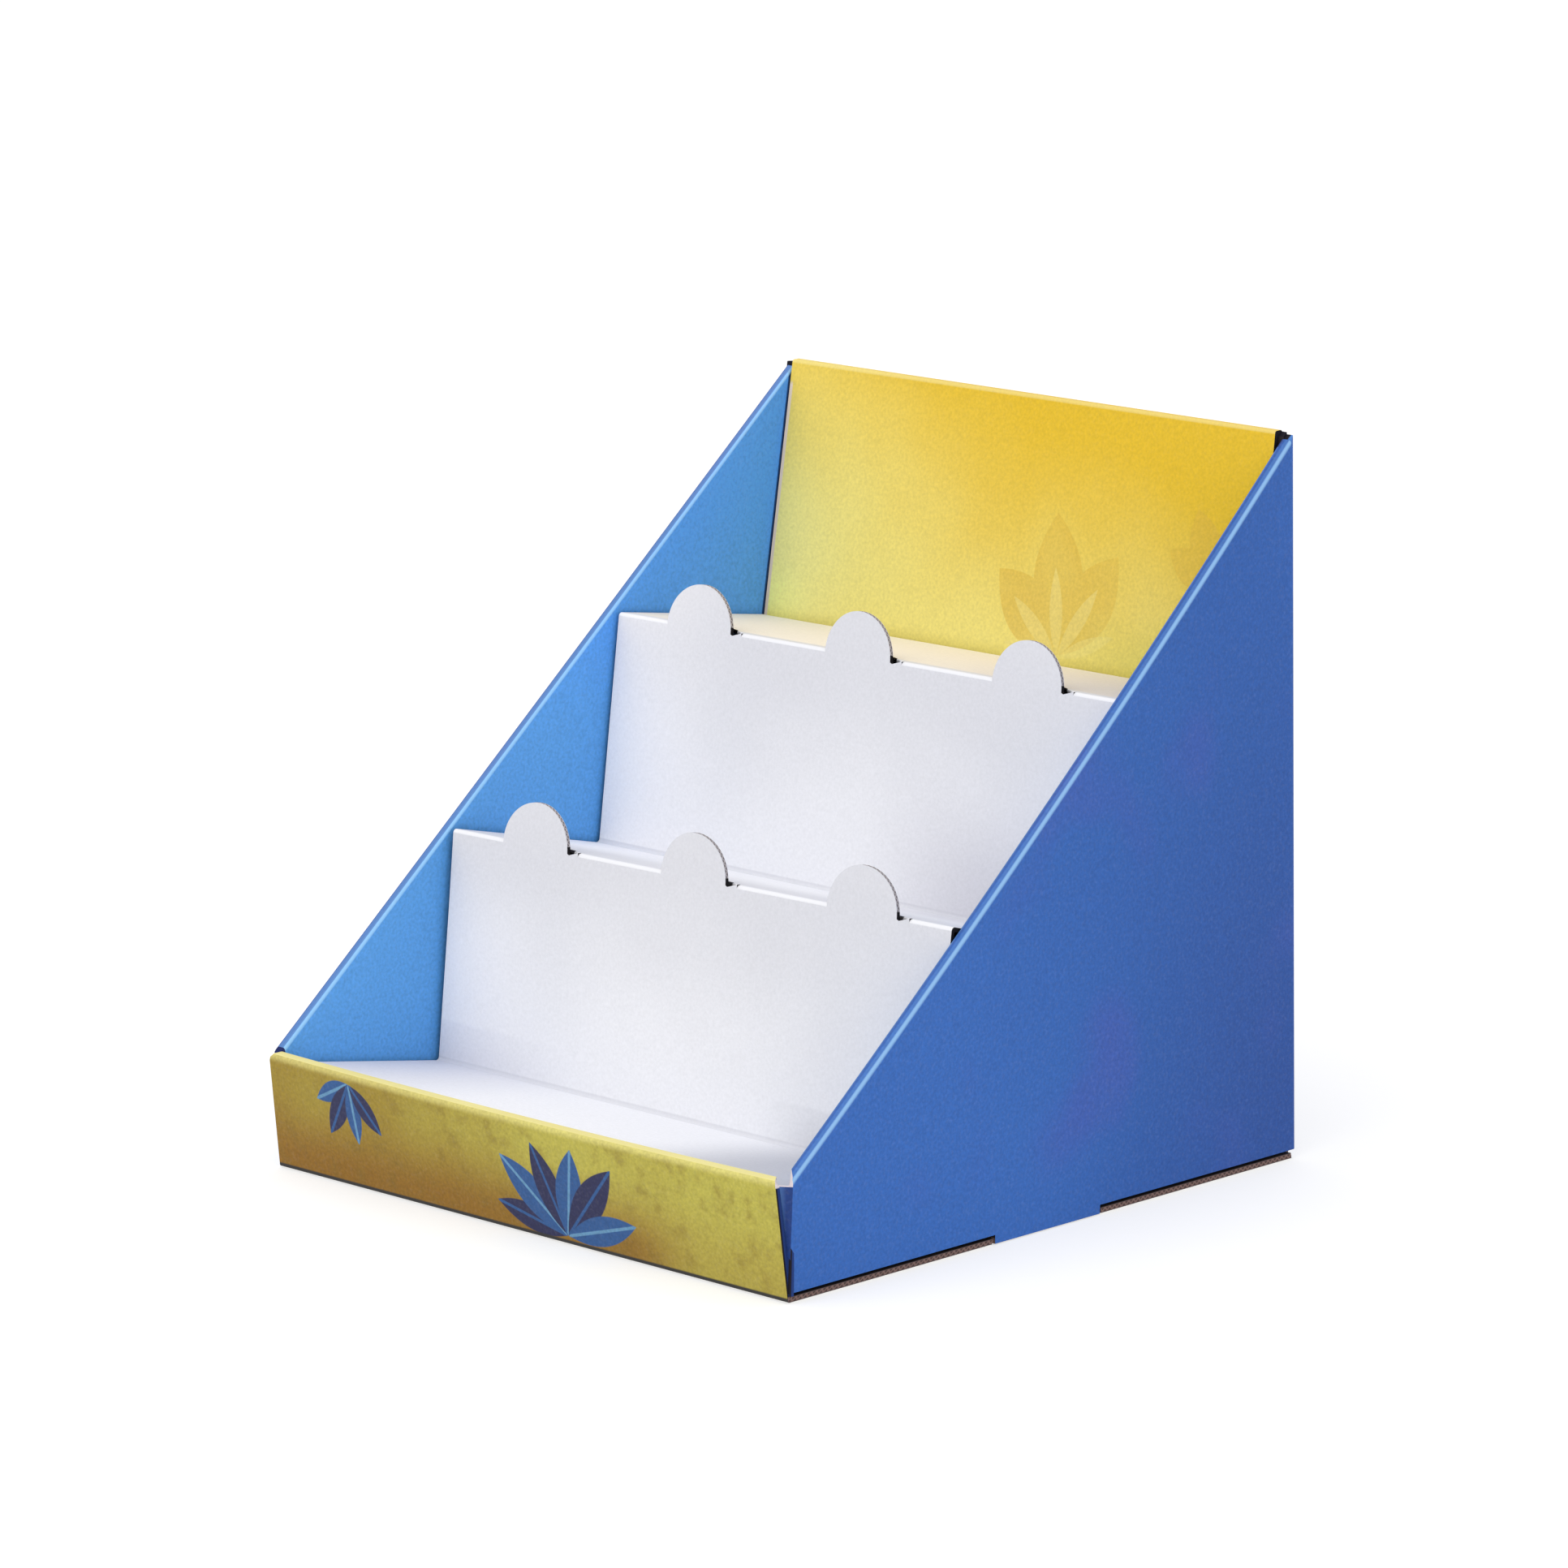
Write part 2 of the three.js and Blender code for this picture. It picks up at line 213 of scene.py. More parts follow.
def card(name, prints, edge, patches):
    """One sheet of card as a closed shell, with its prints' materials and its cut edges'. Each patch is a
    grid of face points in mm, the grid of points under them on the sheet's other side, their places on the
    flat sheet in mm, their fold marks, the slot of each row of cells and which cells exist. Patches are
    glued where their points match, and every edge that only one cell uses gets a strip of cut board from the
    face to the other side."""
    points, backs, places, folds, quads, paints = [], [], [], [], [], []
    offset = 0
    for grid, under, flat, marks, paint, mask in patches:
        n, m = grid.shape[:2]
        index = offset + np.arange(n * m).reshape(n, m)
        cells = np.stack([index[:-1, :-1], index[:-1, 1:], index[1:, 1:], index[1:, :-1]], axis=-1)
        mask = np.ones((n - 1, m - 1), bool) if mask is None else mask
        quads.append(cells[mask])
        paints.append(np.broadcast_to(np.asarray(paint).reshape(-1, 1), (n - 1, m - 1))[mask])
        points.append(grid.reshape(-1, 3))
        backs.append(under.reshape(-1, 3))
        places.append(flat.reshape(-1, 2))
        folds.append(np.broadcast_to(marks, (n, m)).reshape(-1))
        offset += n * m
    points, backs, places, folds, quads, paints = map(
        np.concatenate, (points, backs, places, folds, quads, paints))
    keys = np.round(np.concatenate([points, backs], axis=1), 3)
    _, first, glued = np.unique(keys, axis=0, return_index=True, return_inverse=True)
    used, quads = np.unique(glued.reshape(-1)[quads], return_inverse=True)
    quads = quads.reshape(-1, 4)
    first = first[used]
    points, backs, places, folds = points[first], backs[first], places[first], folds[first]
    count = len(points)
    edges = np.concatenate([quads[:, [i, (i + 1) % 4]] for i in range(4)])
    _, group, uses = np.unique(np.sort(edges, axis=1), axis=0, return_inverse=True, return_counts=True)
    rim = edges[uses[group.reshape(-1)] == 1]
    faces = np.concatenate([quads, quads[:, ::-1] + count,
                            np.stack([rim[:, 1], rim[:, 0], rim[:, 0] + count, rim[:, 1] + count], axis=1)])
    slots = np.concatenate([paints, np.full(len(quads), LINER), np.full(len(rim), CUT_EDGE)])
    placed = settle(np.concatenate([points, backs]))
    a, b, c, d = (placed[faces[:, i]] for i in range(4))
    if (np.cross(b, c) * a).sum() + (np.cross(c, d) * a).sum() < 0:
        faces = faces[:, ::-1]
    mesh = bpy.data.meshes.new(name)
    mesh.from_pydata(placed, [], faces)
    for material in (liner_painted_dark, edge, *prints):
        mesh.materials.append(material)
    mesh.polygons.foreach_set("material_index", slots.astype(np.int32))
    flat = np.concatenate([np.tile(places, (2, 1)), np.repeat([0.0, 1.0], count)[:, None]], axis=1)
    mesh.attributes.new("sheet", "FLOAT_VECTOR", "POINT").data.foreach_set("vector", flat.ravel())
    mesh.attributes.new("fold", "FLOAT", "POINT").data.foreach_set("value", np.tile(folds, 2))
    mesh.shade_smooth()
    mesh.set_sharp_from_angle(angle=SHARP_ANGLE)
    mesh.update()
    piece = bpy.data.objects.new(name, mesh)
    scene.collection.objects.link(piece)
    return piece


# The strip's materials: colours printed on white-lined E-flute board under a thin satin film. Where a fold
# stretches the film it shows paler, with a painted highlight, and where the board is cut its flutes show.
WHITE = (1.0, 1.0, 1.0, 1.0)
PAPER_GLOSS = 0.2


def srgb(red, green, blue):
    """A colour given as a screen shows it, 0 to 255, as the light values that a shader needs."""
    c = np.array([red, green, blue]) / 255
    return (*np.where(c <= 0.04045, c / 12.92, ((c + 0.055) / 1.055) ** 2.4), 1.0)


class Value:
    """One socket of a material: arithmetic on it adds Math nodes."""

    def __init__(self, recipe, socket):
        self.recipe, self.socket = recipe, socket

    def math(self, operation, *inputs, **settings):
        return self.recipe.node("ShaderNodeMath", {"operation": operation, **settings}, list(inputs))

    def __add__(self, other):
        return self.math("ADD", self, other)

    def __sub__(self, other):
        return self.math("SUBTRACT", self, other)

    def __rsub__(self, other):
        return self.math("SUBTRACT", other, self)

    def __mul__(self, other):
        return self.math("MULTIPLY", self, other)

    def __truediv__(self, other):
        return self.math("DIVIDE", self, other)

    def __rtruediv__(self, other):
        return self.math("DIVIDE", other, self)

    __radd__ = __add__
    __rmul__ = __mul__

    def __abs__(self):
        return self.math("ABSOLUTE", self)

    def step(self, low, high):
        """0 below low, 1 above high and a smooth rise between; high may be the lower of the two."""
        return self.recipe.node("ShaderNodeMapRange", {"interpolation_type": "SMOOTHSTEP"},
                                {"Value": self, "From Min": low, "From Max": high})


class Recipe:
    """A material and its nodes: a printed or bare paper with little gloss."""

    def __init__(self, name, roughness):
        self.material = bpy.data.materials.new(name)
        self.material.use_nodes = True
        self.tree = self.material.node_tree
        self.shader = self.tree.nodes["Principled BSDF"]
        self.shader.inputs["Roughness"].default_value = roughness
        self.shader.inputs["Specular IOR Level"].default_value = PAPER_GLOSS

    def node(self, kind, settings=None, inputs=(), output=0):
        """Adds a node: its settings first, then a value or a link for each socket, by order or by name."""
        made = self.tree.nodes.new(kind)
        for key, value in (settings or {}).items():
            setattr(made, key, value)
        pairs = inputs.items() if isinstance(inputs, dict) else enumerate(inputs)
        for key, value in pairs:
            if isinstance(value, Value):
                self.tree.links.new(value.socket, made.inputs[key])
            else:
                made.inputs[key].default_value = value
        return Value(self, made.outputs[output])

    def set(self, **inputs):
        """Links values to the shader's sockets."""
        for key, value in inputs.items():
            self.tree.links.new(value.socket, self.shader.inputs[key.replace("_", " ")])

    def place(self):
        """x, y, z of the point in mm."""
        spot = self.node("ShaderNodeTexCoord", output=3)
        parts = [self.node("ShaderNodeSeparateXYZ", inputs=[spot], output=i) for i in range(3)]
        return [part * 1000.0 for part in parts]

    def sheet(self):
        """Place across and along the flat sheet in mm, and how deep into the board, 0 to 1."""
        spot = self.node("ShaderNodeAttribute", {"attribute_name": "sheet"}, output=1)
        return [self.node("ShaderNodeSeparateXYZ", inputs=[spot], output=i) for i in range(3)]

    def fold(self):
        """The point's fold mark: 0 away from folds, above 0 for a fold's stretched paleness and painted
        highlight, and below 0 for painted shade on a fold or where a slit or hole is cut."""
        return self.node("ShaderNodeAttribute", {"attribute_name": "fold"}, output=2)

    def noise(self, size, detail=2.0, stretch=(1, 1, 1)):
        """Soft noise, 0 to 1, whose blots are about size mm across."""
        spot = self.node("ShaderNodeTexCoord", output=3)
        scale = [1000 / size * share for share in stretch]
        spot = self.node("ShaderNodeMapping", inputs={"Vector": spot, "Scale": scale})
        return self.node("ShaderNodeTexNoise", inputs={"Vector": spot, "Scale": 1.0, "Detail": detail})

    def blend(self, amount, low, high):
        """Two colours mixed by an amount."""
        return self.node("ShaderNodeMix", {"data_type": "RGBA"}, {0: amount, 6: low, 7: high}, output=2)

    def bump(self, height, distance):
        """A bump of that many mm on the shader."""
        settings = {"Height": height, "Distance": distance * MM, "Strength": 1.0}
        self.set(Normal=self.node("ShaderNodeBump", inputs=settings))


def grain(recipe, colour, strength):
    """The print's fine dot grain: the colour a little darker and lighter in dots, with pale specks."""
    shade = 1.0 + strength * (recipe.noise(1.1, 2.0) - 0.5)
    colour = recipe.node("ShaderNodeHueSaturation", inputs={"Value": shade, "Color": colour})
    specks = recipe.noise(1.3, 2.0, (1, 1, -1)).step(0.45, 0.8)
    return recipe.blend(specks * (strength * 0.035), colour, WHITE)


def printed(name, roughness=0.5):
    """A film-covered print: satin, with the board's faint washboard of flutes under it."""
    recipe = Recipe(name, roughness)
    recipe.bump(recipe.noise(9.0, 2.0), 0.10)
    return recipe


def liner_material():
    """The inside of the board: bare liner, painted a near-black grey-brown as the shade in the gaps where it
    shows.
    """
    recipe = Recipe("liner_painted_dark", 0.85)
    fibres = recipe.noise(3.0, 4.0, (1, 6, 1))
    # Painted shade: the liner's grey-brown is made near black for the dark gaps
    recipe.set(Base_Color=recipe.blend(fibres, srgb(44, 38, 40), srgb(58, 50, 50)))
    recipe.bump(fibres, 0.05)
    return recipe.material


# How far the flutes' wave turns for each mm along an edge, in radians: one flute is 2.4 mm long
FLUTE_TURN = 2.6


def flutes(recipe, face, core):
    """The colour of a cut edge: a line of face paper at each face, and between them the core, with painted
    shade in the hollows off a sine wave along the edge."""
    across, along, depth = recipe.sheet()
    flute = recipe.node("ShaderNodeMath", {"operation": "SINE"}, [(across + along) * FLUTE_TURN])
    wave = abs(depth - 0.5 - 0.28 * flute)
    # Painted shade in the flutes' hollows
    hollow = wave.step(0.16, 0.30) * depth.step(0.10, 0.2) * depth.step(0.92, 0.82)
    paper = 1.0 - (depth.step(0.06, 0.16) * depth.step(0.96, 0.88))
    colour = recipe.blend(paper, core, face)
    return recipe.blend(hollow * 0.7, colour, srgb(40, 32, 34))


def box_edge_material():
    """The box's cut edges: bare and brown on the counter, and painted with shade above it. The painted shade
    is near black, but dark blue in the inner half of the board in front and navy at the lip's left end; a
    light blue painted highlight sits at the right rear corner, and the lip's right top end is pale."""
    recipe = Recipe("box_edge", 0.9)
    x, y, z = recipe.place()
    depth = recipe.sheet()[2]
    front = y.step(-121.0, -123.0)
    # Painted shade on the edges above the counter, and a painted highlight at the right rear corner
    edge_light_and_shade = recipe.blend(depth.step(0.3, 0.5) * front, srgb(26, 24, 34), srgb(34, 58, 116))
    edge_light_and_shade = recipe.blend(x.step(-117.0, -118.0) * front, edge_light_and_shade, srgb(40, 50, 104))
    edge_light_and_shade = recipe.blend(x.step(119.6, 120.4) * y.step(116.0, 118.0), edge_light_and_shade, srgb(86, 136, 208))
    lip_end = x.step(110.0, 111.0) * front * z.step(38.8, 39.4)
    edge_light_and_shade = recipe.blend(lip_end, edge_light_and_shade, srgb(222, 212, 216))
    bare = flutes(recipe, srgb(70, 62, 66), srgb(122, 98, 92))
    recipe.set(Base_Color=recipe.blend(z.step(1.95, 2.1), bare, edge_light_and_shade))
    return recipe.material


def blue_print(name, low, high, patch, rear):
    """The recipe and colour of a blue print: a soft drift between two blues, with a third in faint patches
    and a fourth towards the rear."""
    recipe = printed(name)
    x, y, z = recipe.place()
    colour = recipe.blend(recipe.noise(160.0, 1.0).step(0.35, 0.65), low, high)
    colour = recipe.blend(y.step(-10.0, 125.0) * (z.step(230.0, 20.0) * 0.8 + 0.2), colour, rear)
    return recipe, recipe.blend(recipe.noise(60.0, 2.0).step(0.52, 0.75) * 0.6, colour, patch)


def folded_blue(recipe, colour, pale, dark):
    """A blue print's material, with its grain. Folds that are marked above 0 are stretched pale with a
    painted highlight, and those marked below 0 get painted shade."""
    colour = grain(recipe, colour, 0.55)
    mark = recipe.fold()
    # Painted shade on folds marked below 0
    colour = recipe.blend(mark.math("MINIMUM", mark * -1.0, 1.0), colour, dark)
    # Painted highlight and stretched paleness on folds marked above 0
    recipe.set(Base_Color=recipe.blend(mark.math("MAXIMUM", mark, 0.0), colour, pale))
    return recipe.material


def leaf(recipe, u, v, root, angle, length, width):
    """Masks of a pointed leaf and of its midrib on the plane u, v in mm. The leaf grows from its root at an
    angle in degrees, and its half width is the width times a parabola along its length."""
    turn = math.radians(angle)
    along = (u - root[0]) * math.cos(turn) + (v - root[1]) * math.sin(turn)
    side = abs((v - root[1]) * math.cos(turn) - (u - root[0]) * math.sin(turn))
    share = along / length
    half = share * (1.0 - share) * (4.0 * width)
    blade = (half - side).step(0.0, 0.45)
    return blade, blade * side.step(0.75, 0.35)


def spray(recipe, colour, u, v, root, leaves):
    """A colour with leaves printed over it: each has an angle, length, width, tone and midrib's tone."""
    for angle, length, width, tone, rib in leaves:
        blade, midrib = leaf(recipe, u, v, root, angle, length, width)
        colour = recipe.blend(blade, colour, tone)
        colour = recipe.blend(midrib, colour, rib)
    return colour


def lip_material():
    """The lip's print: mottled mustard, browner to the left and below, with a painted highlight by the rolled
    top and a painted contact shadow on the counter. Two sprays of leaves in navy and mid blue stand on it."""
    recipe = printed("lip_print")
    x, y, z = recipe.place()
    drift = recipe.noise(45.0, 2.0) * 0.5 + (x + 125.0) / 250.0 * 0.6
    colour = recipe.blend(drift.step(0.2, 0.8), srgb(150, 126, 40), srgb(180, 171, 74))
    brown = (z / 42.0).step(0.8, 0.1) * (0.9 - 0.6 * x.step(50.0, 90.0))
    colour = recipe.blend(brown, colour, srgb(134, 92, 22))
    colour = recipe.blend(recipe.noise(7.0, 3.0).step(0.45, 0.8) * 0.5, colour, srgb(122, 98, 34))
    # Painted highlight on the lip's face under the rolled top
    colour = recipe.blend(z.step(38.4, 41.2) * 0.55, colour, srgb(232, 222, 140))
    navy = (srgb(40, 42, 78), srgb(44, 84, 138))
    blue = (srgb(44, 84, 138), srgb(96, 142, 178))
    colour = spray(recipe, colour, x, z, (22.0, 3.0), [
        (168, 34, 5.0, *navy), (140, 38, 6.5, *blue), (112, 34, 6.0, *navy),
        (78, 33, 6.5, *blue), (48, 38, 6.5, *navy), (16, 36, 5.5, *blue)])
    colour = spray(recipe, colour, x, z, (-82.0, 38.0), [
        (205, 20, 3.8, *blue), (238, 24, 4.5, *navy), (275, 22, 4.0, *blue), (312, 22, 4.0, *navy)])
    colour = grain(recipe, colour, 0.60)
    # Painted contact shadow where the lip meets the counter
    recipe.set(Base_Color=recipe.blend(z.step(1.9, 1.2), colour, srgb(48, 47, 46)))
    return recipe.material


def lip_top_material():
    """The rolled top of the lip, where the yellow is stretched pale and has a painted highlight."""
    recipe = printed("lip_top")
    # Partly painted highlight: the roll's top is made paler
    colour = recipe.blend(recipe.noise(30.0, 2.0), srgb(226, 212, 128), srgb(238, 228, 156))
    recipe.set(Base_Color=grain(recipe, colour, 0.05))
    return recipe.material


def back_material():
    """The inner back's print: orange yellow at the upper right, pale yellow at the left and below, with two
    clusters of leaves in slightly deeper and paler tones. Painted light brightens it beside the left wall, a
    painted shadow darkens its foot, and painted highlights run down its left edge and along its top fold."""
    recipe = printed("back_print", 0.6)
    x, y, z = recipe.place()
    warm = (x + 60.0) / 170.0 * 0.45 + (z - 165.0) / 90.0 * 0.75 + (recipe.noise(70.0, 2.0) - 0.5) * 0.5
    colour = recipe.blend(warm.step(0.05, 0.95), srgb(236, 223, 128), srgb(222, 184, 42))
    deep = [recipe.blend(recipe.noise(20.0, 1.0) * 0.5 + 0.2, colour, srgb(213, 174, 62))] * 2
    colour = spray(recipe, colour, x, z, (28.0, 168.0), [
        (58, 44, 11.0, *deep), (98, 50, 12.0, *deep), (140, 42, 11.0, *deep)])
    colour = spray(recipe, colour, x, z, (96.0, 200.0), [
        (70, 26, 7.0, *deep), (112, 28, 7.5, *deep), (154, 24, 6.5, *deep)])
    pale = [recipe.blend(0.45, colour, srgb(236, 222, 138))] * 2
    colour = spray(recipe, colour, x, z, (27.0, 167.0), [
        (22, 28, 3.0, *pale), (58, 31, 3.2, *pale), (98, 32, 3.2, *pale), (140, 30, 3.2, *pale),
        (174, 26, 3.0, *pale)])
    # Painted light brightening the back beside the left wall, which shades it
    left_painted_light = x.step(-60.0, -122.0) * z.step(240.0, 175.0) * 0.85
    colour = recipe.blend(left_painted_light, colour, srgb(252, 243, 152))
    lime = x.step(10.0, 100.0) * z.step(190.0, 165.0) * 0.7
    colour = recipe.blend(lime, colour, srgb(206, 202, 100))
    # More painted light in the lower left corner
    corner = x.step(-90.0, -116.0) * z.step(188.0, 172.0) * 0.8
    colour = recipe.blend(corner, colour, srgb(255, 252, 150))
    # Painted shadow along the back's foot above the upper tread
    colour = recipe.blend(z.step(170.0, 164.0) * 0.3, colour, srgb(186, 166, 62))
    colour = grain(recipe, colour, 0.36)
    # Painted highlight down the back's left edge, where the film curls
    left_edge_highlight = recipe.sheet()[0].step(-118.2, -118.8) * z.step(250.0, 248.0)
    colour = recipe.blend(left_edge_highlight, colour, srgb(232, 212, 190))
    # Painted highlight and stretched paleness on the top fold
    recipe.set(Base_Color=recipe.blend(recipe.fold() * 0.35, colour, srgb(245, 235, 170)))
    return recipe.material


def base_material():
    """The underside: plain white-lined board."""
    recipe = Recipe("base_liner", 0.8)
    colour = recipe.blend(recipe.noise(12.0, 3.0), srgb(196, 190, 180), srgb(210, 205, 196))
    recipe.set(Base_Color=colour)
    return recipe.material


liner_painted_dark = liner_material()
box_edge = box_edge_material()
blue_outside = folded_blue(
    *blue_print("blue_outside", srgb(41, 92, 170), srgb(47, 99, 178), srgb(62, 84, 168), srgb(36, 76, 150)),
    srgb(142, 186, 230), srgb(72, 66, 112))
strip_prints = [lip_material(), lip_top_material(), base_material(), blue_outside, back_material()]
LIP_PRINT, LIP_TOP, BARE_BASE, REAR_WALL, BACK_PRINT = range(PRINT, PRINT + len(strip_prints))

# The radii of the lip's roll, of the base's rear fold, of the sharper scored folds, and of a fold's crushed
# inside. The strip's section follows in (y, z), with the steps of each straight run.
ROLL_RADIUS = 1.2
FOLD_RADIUS = 1.9
SCORED_RADIUS = 0.9
INNER_RADIUS = 0.25
middle = np.array([
    [inner_lip_face(FOOT), FOOT], [lip_face(LIP_HEIGHT) + LIP_TOP_DEPTH, LIP_HEIGHT],
    [lip_face(LIP_HEIGHT), LIP_HEIGHT], [0, 0], [DEPTH, 0], [DEPTH, BACK_TOP], [INNER_BACK_TOP, BACK_TOP],
    [inner_back_face(FOOT), FOOT]])
middle_radii = [ROLL_RADIUS, ROLL_RADIUS, SCORED_RADIUS, FOLD_RADIUS, SCORED_RADIUS, SCORED_RADIUS]
middle_cuts = [12, 2, 14, 60, 24, 1, 48]
face_line = fold_line(middle, middle_radii, middle_cuts)
back_line = fold_line(move_left(middle, BOARD), [INNER_RADIUS] * len(middle_radii), middle_cuts)
runs = run_lengths(face_line)
roll_rear, roll_front, front_fold, rear_fold, top_outer = (
    runs[sum(middle_cuts[:i + 1]) + FOLD_STEPS * i + FOLD_STEPS // 2] for i in range(5))

# The cut ends of the strip: pairs of a place along it and how far its end stands in from the box's side
# there. A step between two insets is STEP long. Notches for the sides' tabs are cut out of the base.
STEP = 0.05
TAB_START = 98.0
TAB_END = TAB_START + 52.0
NOTCH_START, NOTCH_END, NOTCH = TAB_START - 1.4, TAB_END + 0.5, DOUBLE_WALL + 0.5
LEFT_PLY, LEFT_LIP = DOUBLE_WALL + CLEARANCE, 3.8
RIGHT_PLY, RIGHT_LIP = 8.6, 3.6
LEFT_BACK, RIGHT_BACK = DOUBLE_WALL + 0.6, DOUBLE_WALL + 1.6
REAR_INSET = 2 * FOLD_RADIUS
STRIP_COLUMNS = 49


def stepped(place, before, after):
    """Two pairs between which the inset steps from one amount to the other."""
    return [(place, before), (place + STEP, after)]


left_lip = [
    (0, LEFT_PLY), *stepped(roll_rear - 1.6, LEFT_PLY, LEFT_LIP), (roll_front, LEFT_LIP),
    (roll_front + 0.9, LEFT_LIP - 0.9), (roll_front + 2.2, LEFT_LIP - 1.4)]
right_lip = [(0, RIGHT_PLY), (roll_rear - 0.8, RIGHT_PLY), (roll_front + 0.4, RIGHT_LIP)]
base_and_rear = [
    (front_fold, CLEARANCE), *stepped(front_fold + NOTCH_START, CLEARANCE, NOTCH),
    *stepped(front_fold + NOTCH_END, NOTCH, CLEARANCE), *stepped(rear_fold - 2, CLEARANCE, REAR_INSET)]
ends = [
    np.array([*lip, *base_and_rear, *stepped(top_outer - 0.4, REAR_INSET, back), (runs[-1], back)])
    for lip, back in ((left_lip, LEFT_BACK), (right_lip, RIGHT_BACK))]
places = np.unique(np.concatenate([runs, ends[0][:, 0], ends[1][:, 0]]))
left_half, right_half = (WIDTH / 2 - np.interp(places, *table.T)[:, None] for table in ends)
spread = np.linspace(-1, 1, STRIP_COLUMNS)


def widen(line):
    """The line's (y, z) at every place along the strip, spread over the width. The bow pushes out the lip's
    middle, most at its top, and along a parabola down to none at its ends."""
    y, z = (np.interp(places, runs, line[:, i]) for i in range(2))
    x = np.where(spread < 0, left_half, right_half) * spread
    bow = LIP_BOW * (1 - spread ** 2) * (z / LIP_HEIGHT * (places < front_fold))[:, None]
    return np.stack([x, y[:, None] - bow, z[:, None] + 0 * x], axis=-1)


def seat(piece):
    """Seats a piece of the box on the root body in place of the CAD box."""
    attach(piece, "root")
    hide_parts("display_tray")


strip_faces = widen(face_line)
strip_sheet = np.stack([strip_faces[..., 0], places[:, None] + 0 * strip_faces[..., 0]], axis=-1)
strip_marks = np.interp(places, runs, fold_marks(middle_cuts))[:, None]
print_ends = np.array([roll_rear, roll_front - 0.4, front_fold + 0.6, rear_fold, top_outer])
prints_along = np.array([LIP_PRINT, LIP_TOP, LIP_PRINT, BARE_BASE, REAR_WALL, BACK_PRINT])
strip_paint = prints_along[np.searchsorted(print_ends, (places[1:] + places[:-1]) / 2, side="right")]
seat(card("tray_middle_strip", strip_prints, box_edge, [
    (strip_faces, widen(back_line), strip_sheet, strip_marks, strip_paint, None)]))

# The sides: each outer ply of the printed board is rolled over its sloping edge, and the inner ply comes down
# inside it to the base. A tab in its foot drops through a notch in the base. At the rear the outer ply folds
# round the corner.
CORNER_SETBACK = 0.2
ROLL_END = DEPTH - 2.2
SIDE_RADIUS = 1.0
SIDE_FOOT = BOARD + 1.2
EDGE_STRETCH = 1 / math.cos(SLOPE)
PLAN_CUTS = [40, 2]
SIDE_CUTS = [22, 2, 22]
# The inner ply's front edge is set back to clear the lip, and the columns behind it share that over this
# depth
SHIFT_REACH = 40.0
# Each side's sign in x, where its roll starts, the slant of its inner ply's front edge, and the painted
# highlight (above 0) or painted shade (below 0) on the outer face, the edge's outer fold, its top, its inner
# fold and the inner face, as lit from the right. A fold's mark swells over its arc as its sine to the power
# ARC_SHARPNESS.
ARC_SHARPNESS = 0.4
SIDES = {"right": (1, 0.4, 0.8, [0, 0.95, 0.12, -0.75, 0]), "left": (-1, 1.3, 0.0, [0, -0.9, 0.25, 0.75, 0])}
plan_corners = np.array([[WIDTH / 2, CORNER_SETBACK], [WIDTH / 2, DEPTH], [WIDTH / 2 - REAR_INSET, DEPTH]])
plan_face = fold_line(plan_corners, [FOLD_RADIUS], PLAN_CUTS)
plan_back = fold_line(move_left(plan_corners, BOARD), [INNER_RADIUS], PLAN_CUTS)
plan_runs = run_lengths(plan_face)
stops = np.array([TAB_START, TAB_START + STEP, TAB_END - STEP, TAB_END, ROLL_END]) - CORNER_SETBACK
plan_places = np.unique(np.concatenate([plan_runs, stops]))
plan_face, plan_back = (
    np.stack([np.interp(plan_places, plan_runs, line[:, i]) for i in range(2)], axis=-1)
    for line in (plan_face, plan_back))
side_y = plan_places + CORNER_SETBACK
side_top = np.where(side_y > ROLL_END + STEP / 2, BACK_TOP, edge_height(side_y))
in_tab = (side_y > TAB_START + STEP / 2) & (side_y < TAB_END - STEP / 2)


def side_profile(foot, inner_foot, inset, radius):
    """Each column's (depth into the wall, height above the sloping edge, square to it) from the outer ply's
    foot over the roll to the inner ply's foot. The board's other side lies inset mm further in."""
    low = (foot - side_top) / EDGE_STRETCH
    inner_low = (inner_foot - side_top) / EDGE_STRETCH
    near, top = 0 * low + inset, 0 * low - inset
    far = DOUBLE_WALL - near
    pairs = ((near, low), (near, top), (far, top), (far, inner_low))
    return fold_line(np.stack([np.stack(pair, -1) for pair in pairs]), [radius, radius], SIDE_CUTS)


def side_grid(inset, radius, roll_start, slant):
    """Points of one side: a column's place in plan, moved into the wall and up by the profile. Beside the
    lip the inner ply's front edge keeps clear of the lip's inner ply, and slant mm further back for each mm
    into the wall."""
    foot = np.where(in_tab, 0.0, SIDE_FOOT)
    inner_foot = np.where(in_tab, 0.0, FOOT)
    profile = side_profile(foot, inner_foot, inset, radius)
    into, up = profile[..., 0], profile[..., 1]
    turn = unit(plan_back - plan_face)
    x = plan_face[:, 0] + turn[:, 0] * into
    y = plan_face[:, 1] + turn[:, 1] * into
    z = side_top + up * EDGE_STRETCH
    start = np.where(z < LIP_HEIGHT - BOARD, inner_lip_face(z) + CLEARANCE, roll_start)
    start = np.maximum(start, CORNER_SETBACK + slant * into)
    rolled = np.clip(into - inset, 0, 1)
    near = np.clip(1 - (side_y - CORNER_SETBACK) / SHIFT_REACH, 0, 1)
    moved = y + (start - CORNER_SETBACK) * near * rolled
    return np.stack([x, moved, z * edge_height(moved) / edge_height(y)], axis=-1)


